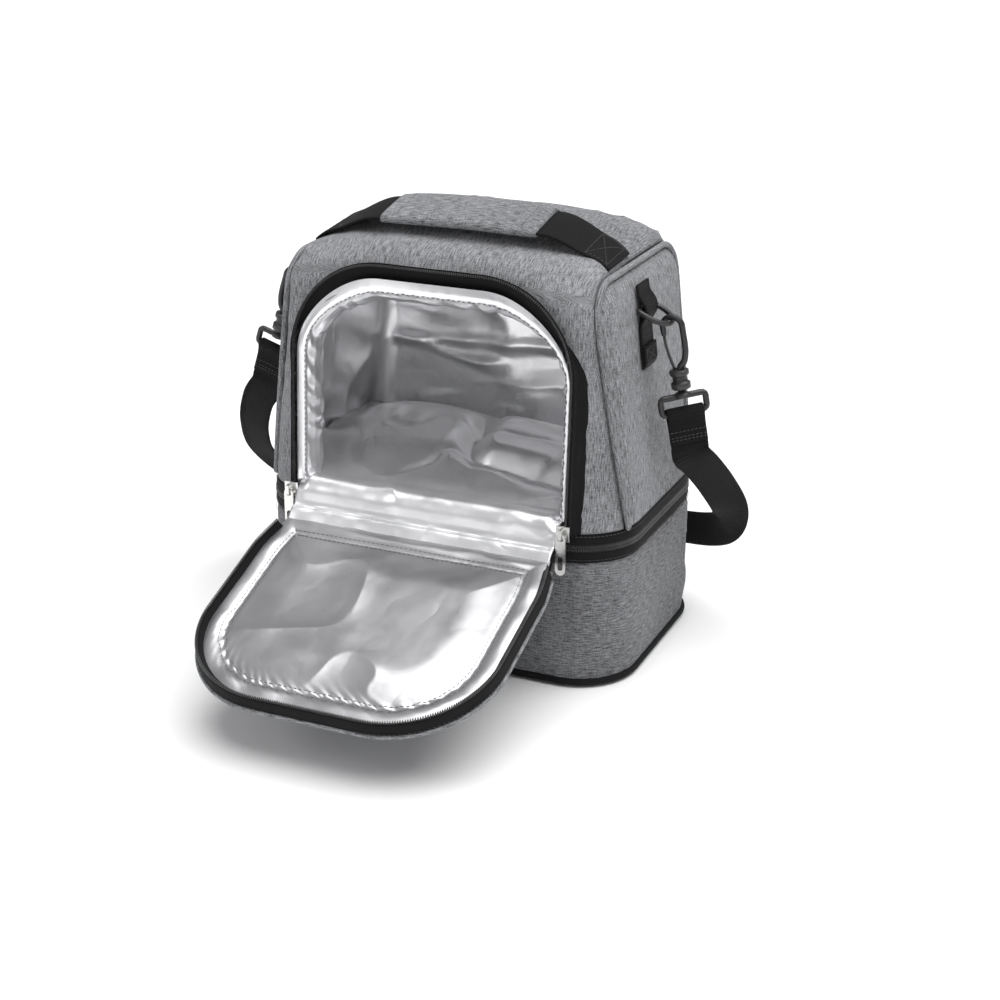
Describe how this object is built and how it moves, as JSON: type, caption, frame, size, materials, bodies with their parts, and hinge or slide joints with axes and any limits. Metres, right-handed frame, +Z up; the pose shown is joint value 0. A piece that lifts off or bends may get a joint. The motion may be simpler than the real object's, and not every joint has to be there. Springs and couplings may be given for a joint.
{
  "type": "insulated cooler bag",
  "caption": "Soft insulated lunch cooler in two zipped compartments: a foil-lined upper box whose padded front flap lies open, over a shallow base, with a grip handle and a hooked shoulder strap.",
  "frame": {"origin": "centre of the flat base panel, on the surface that the bag stands on", "axes": "+X to the bag's left-to-right width seen from the front, +Y from front to back, +Z up"},
  "size_m": [0.3807, 0.3669, 0.2958],
  "materials": {
    "grey_fabric": "woven two-tone heather polyester, matt",
    "black_webbing": "ribbed black webbing",
    "black_tape": "black zip tape and hinge fabric",
    "black_plastic": "moulded black plastic, satin",
    "nylon_chain": "black nylon zip coil",
    "silver_liner": "silver foil-faced film, glossy and wrinkled",
    "white_foam": "closed-cell insulation foam",
    "zinc": "plated zinc"
  },
  "bodies": {
    "lower_box": {"base_panel": "grey_fabric", "base_foam": "white_foam", "bottom_piping": "grey_fabric", "lower_front_panel": "grey_fabric", "lower_wrap_panel": "grey_fabric", "lower_foam_wall": "white_foam", "lower_liner": "silver_liner", "ring_tape_lower": "black_tape", "ring_chain_lower": "nylon_chain", "back_hinge_strip": "black_tape", "left_strap_back": "black_webbing", "right_strap_back": "black_webbing", "strap_adjuster": "black_plastic"},
    "flap": {"flap_cover": "grey_fabric", "flap_foam": "white_foam", "flap_liner": "silver_liner", "flap_tape": "black_tape", "flap_chain": "nylon_chain"},
    "door_left_slider": {"door_left_slider": "zinc"},
    "door_left_pull": {"door_left_pull": "zinc"},
    "ring_left_slider": {"ring_left_slider": "zinc"},
    "ring_left_pull": {"ring_left_pull": "zinc"},
    "left_ring": {"left_dring": "black_plastic"},
    "left_loop": {"left_strap_loop": "black_plastic", "left_strap_end": "black_webbing"},
    "left_hook": {"left_hook": "black_plastic"},
    "left_gate": {"left_gate": "black_plastic"},
    "door_right_slider": {"door_right_slider": "zinc"},
    "door_right_pull": {"door_right_pull": "zinc"},
    "ring_right_slider": {"ring_right_slider": "zinc"},
    "ring_right_pull": {"ring_right_pull": "zinc"},
    "right_ring": {"right_dring": "black_plastic"},
    "right_loop": {"right_strap_loop": "black_plastic", "right_strap_end": "black_webbing"},
    "right_hook": {"right_hook": "black_plastic"},
    "right_gate": {"right_gate": "black_plastic"},
    "upper_box": {"divider_cover": "silver_liner", "divider_foam": "white_foam", "door_chain_body": "nylon_chain", "door_tape_body": "black_tape", "flap_hinge_web": "silver_liner", "front_foam": "white_foam", "gusset_foam": "white_foam", "handle_grip": "grey_fabric", "handle_webbing": "black_webbing", "left_foam": "white_foam", "left_piping": "grey_fabric", "left_side_panel": "grey_fabric", "left_strap_drop": "black_webbing", "left_tab": "black_webbing", "main_panel": "grey_fabric", "opening_facing": "silver_liner", "right_foam": "white_foam", "right_piping": "grey_fabric", "right_side_panel": "grey_fabric", "right_strap_drop": "black_webbing", "right_tab": "black_webbing", "ring_chain_upper": "nylon_chain", "ring_tape_upper": "black_tape", "upper_liner": "silver_liner"}
  },
  "joints": [
    {"name": "upper_tilt", "type": "hinge", "parent": "lower_box", "child": "upper_box", "pos_m": [0, 0.0868, 0.098], "axis": [-1, 0, 0], "range_deg": [0, 100], "deforming": ["back_hinge_strip", "left_strap_back", "right_strap_back"]},
    {"name": "flap_fold", "type": "hinge", "parent": "upper_box", "child": "flap", "pos_m": [0, -0.0995, 0.102], "axis": [-1, 0, 0], "range_deg": [-25, 114], "deforming": ["flap_hinge_web"]},
    {"name": "door_left_slide", "type": "slide", "parent": "upper_box", "child": "door_left_slider", "axis": [0, 0.0698, 0.9976], "range_m": [0, 0.085]},
    {"name": "door_left_pull_swing", "type": "hinge", "parent": "door_left_slider", "child": "door_left_pull", "pos_m": [-0.098, -0.0986, 0.10965], "axis": [1, 0, 0], "range_deg": [-12, 0]},
    {"name": "ring_left_slide", "type": "slide", "parent": "lower_box", "child": "ring_left_slider", "axis": [-1, 0, 0], "range_m": [0, 0.062]},
    {"name": "ring_left_pull_swing", "type": "hinge", "parent": "ring_left_slider", "child": "ring_left_pull", "pos_m": [-0.014, -0.0909, 0.096], "axis": [1, 0, 0], "range_deg": [-18, 0]},
    {"name": "door_right_slide", "type": "slide", "parent": "upper_box", "child": "door_right_slider", "axis": [0, 0.0698, 0.9976], "range_m": [0, 0.085]},
    {"name": "door_right_pull_swing", "type": "hinge", "parent": "door_right_slider", "child": "door_right_pull", "pos_m": [0.098, -0.0986, 0.10965], "axis": [1, 0, 0], "range_deg": [-12, 0]},
    {"name": "ring_right_slide", "type": "slide", "parent": "lower_box", "child": "ring_right_slider", "axis": [1, 0, 0], "range_m": [0, 0.062]},
    {"name": "ring_right_pull_swing", "type": "hinge", "parent": "ring_right_slider", "child": "ring_right_pull", "pos_m": [0.014, -0.0909, 0.096], "axis": [1, 0, 0], "range_deg": [-18, 0]},
    {"name": "left_ring_swing", "type": "hinge", "parent": "upper_box", "child": "left_ring", "pos_m": [-0.11879, -0.01, 0.24], "axis": [0, 1, 0], "range_deg": [-13, 50]},
    {"name": "left_loop_swing", "type": "hinge", "parent": "upper_box", "child": "left_loop", "pos_m": [-0.11879, -0.01, 0.24], "axis": [0, 1, 0], "range_deg": [-13, 50], "deforming": ["left_strap_drop"]},
    {"name": "left_hook_swivel", "type": "hinge", "parent": "left_loop", "child": "left_hook", "pos_m": [-0.13802, -0.01, 0.23449], "axis": [-0.309, 0, -0.9511], "range_deg": [-12, 12]},
    {"name": "left_gate_press", "type": "hinge", "parent": "left_hook", "child": "left_gate", "pos_m": [-0.145, -0.01, 0.20458], "axis": [0, -1, 0], "range_deg": [0, 14], "stiffness_Nm_per_rad": 0.02},
    {"name": "right_ring_swing", "type": "hinge", "parent": "upper_box", "child": "right_ring", "pos_m": [0.11879, -0.01, 0.24], "axis": [0, -1, 0], "range_deg": [-8, 55]},
    {"name": "right_loop_swing", "type": "hinge", "parent": "upper_box", "child": "right_loop", "pos_m": [0.11879, -0.01, 0.24], "axis": [0, -1, 0], "range_deg": [-8, 55], "deforming": ["right_strap_drop"]},
    {"name": "right_hook_swivel", "type": "hinge", "parent": "right_loop", "child": "right_hook", "pos_m": [0.13692, -0.01, 0.23155], "axis": [0.1857, 0, -0.9826], "range_deg": [-12, 12]},
    {"name": "right_gate_press", "type": "hinge", "parent": "right_hook", "child": "right_gate", "pos_m": [0.14005, -0.01, 0.201], "axis": [0, 1, 0], "range_deg": [0, 14], "stiffness_Nm_per_rad": 0.02}
  ],
  "couplings": [
    {"joint": "left_ring_swing", "follows": "left_loop_swing", "ratio": 1},
    {"joint": "right_ring_swing", "follows": "right_loop_swing", "ratio": 1}
  ]
}
